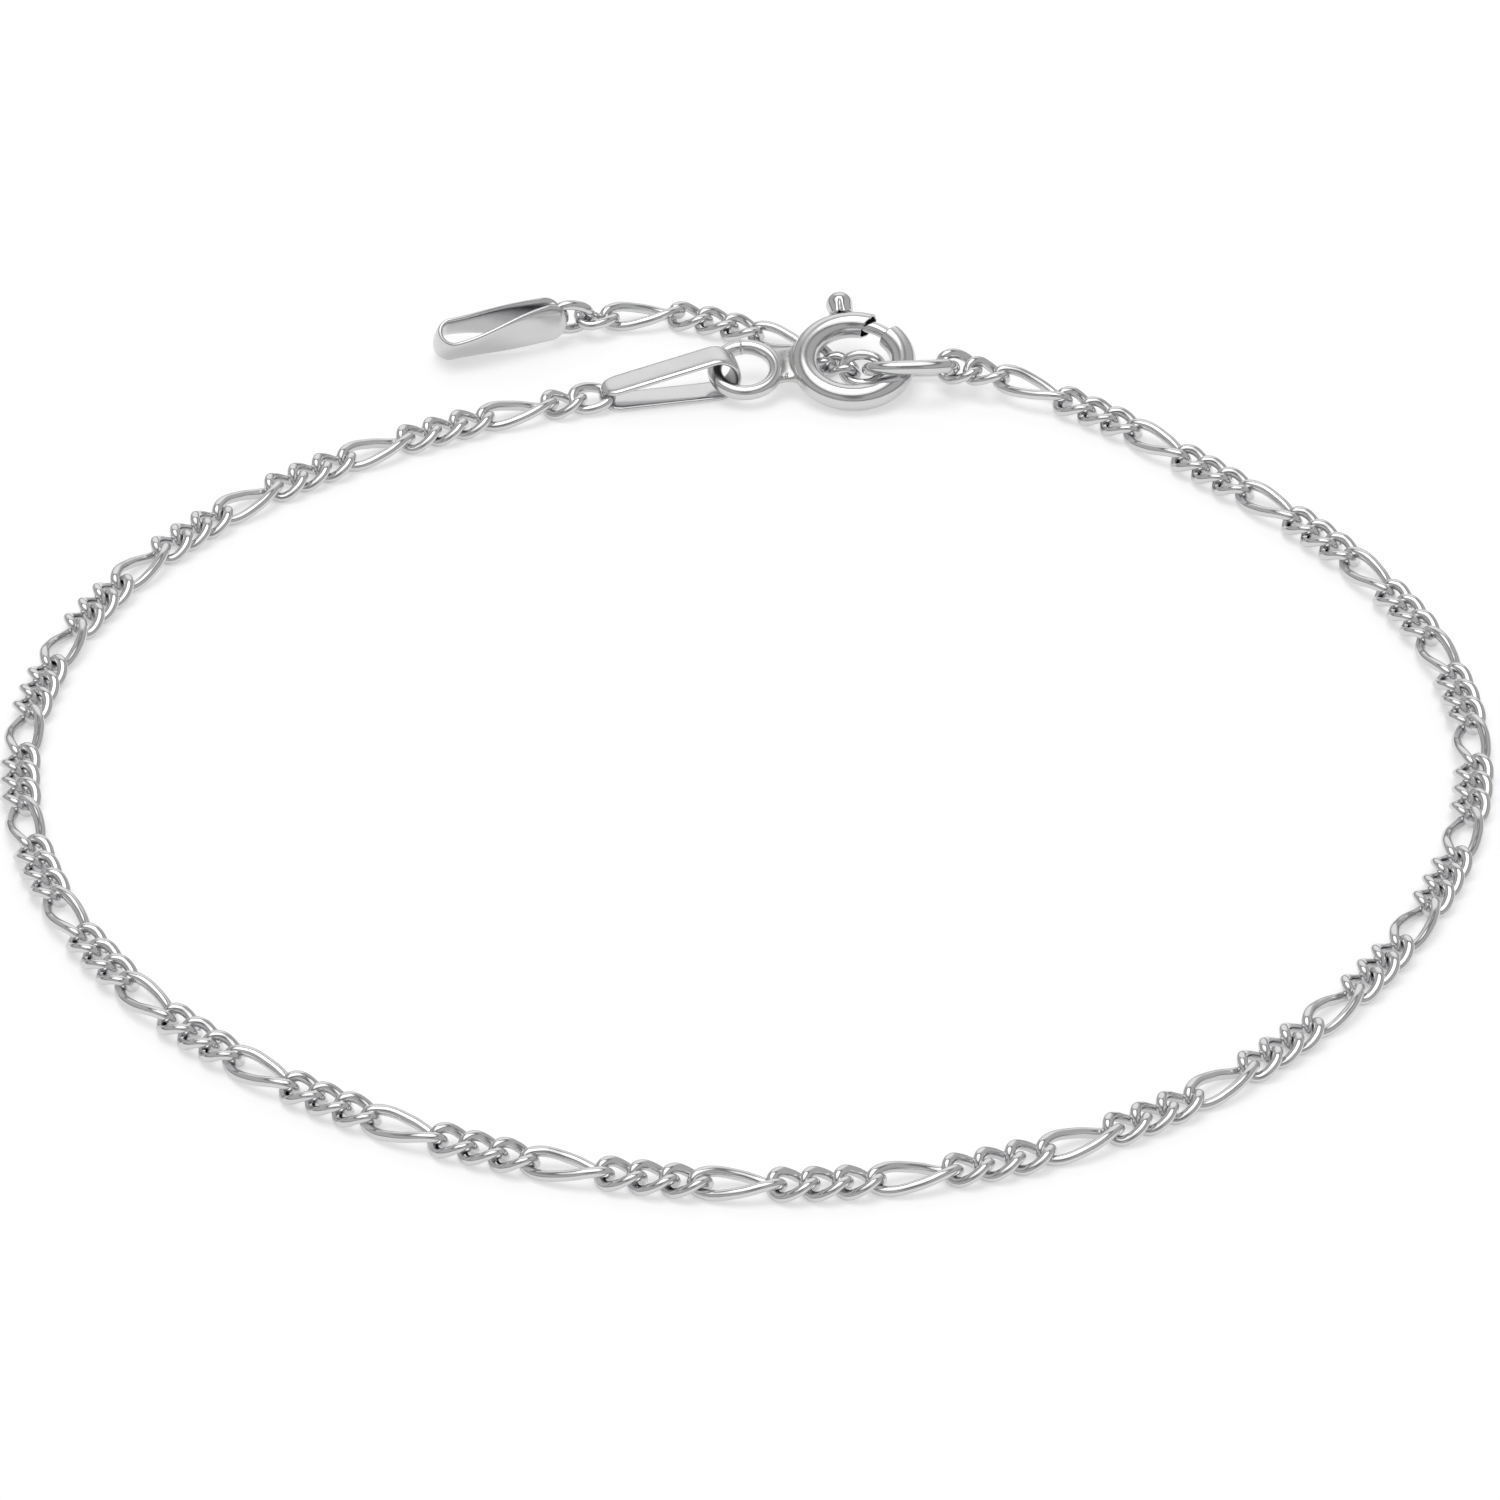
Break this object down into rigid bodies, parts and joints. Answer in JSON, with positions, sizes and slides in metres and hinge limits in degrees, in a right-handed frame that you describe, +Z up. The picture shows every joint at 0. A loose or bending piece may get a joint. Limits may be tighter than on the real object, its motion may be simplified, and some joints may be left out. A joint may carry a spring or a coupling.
{
  "type": "bracelet",
  "caption": "Slim figaro chain bracelet, lying closed in a ring, with a sprung ring clasp and a short extender chain that ends in a folded strip tag.",
  "frame": {"origin": "under the middle of the whole bracelet, on the surface it lies on", "axes": "+Z up out of the plane of the loop, +Y from the middle of the loop towards the clasp, +X to the right seen from above"},
  "size_m": [0.0588, 0.0644, 0.0028],
  "materials": {
    "silver": "polished sterling silver",
    "bolt": "polished silver bolt with a ball knob"
  },
  "bodies": {
    "bracelet": {"chain_left": "silver", "chain_right": "silver", "extender_chain": "silver", "clasp_ring": "silver", "connecting_ring": "silver", "tag_link": "silver", "end_tag": "silver"},
    "bolt": {"clasp_bolt": "bolt"}
  },
  "joints": [
    {"name": "bolt_slide_round", "type": "hinge", "parent": "bracelet", "child": "bolt", "pos_m": [0.00449, 0.0263, 0.00122], "axis": [0, -0.2857, 0.9583], "range_deg": [0, 38], "stiffness_Nm_per_rad": 0.002, "springref_deg": -5.73}
  ]
}
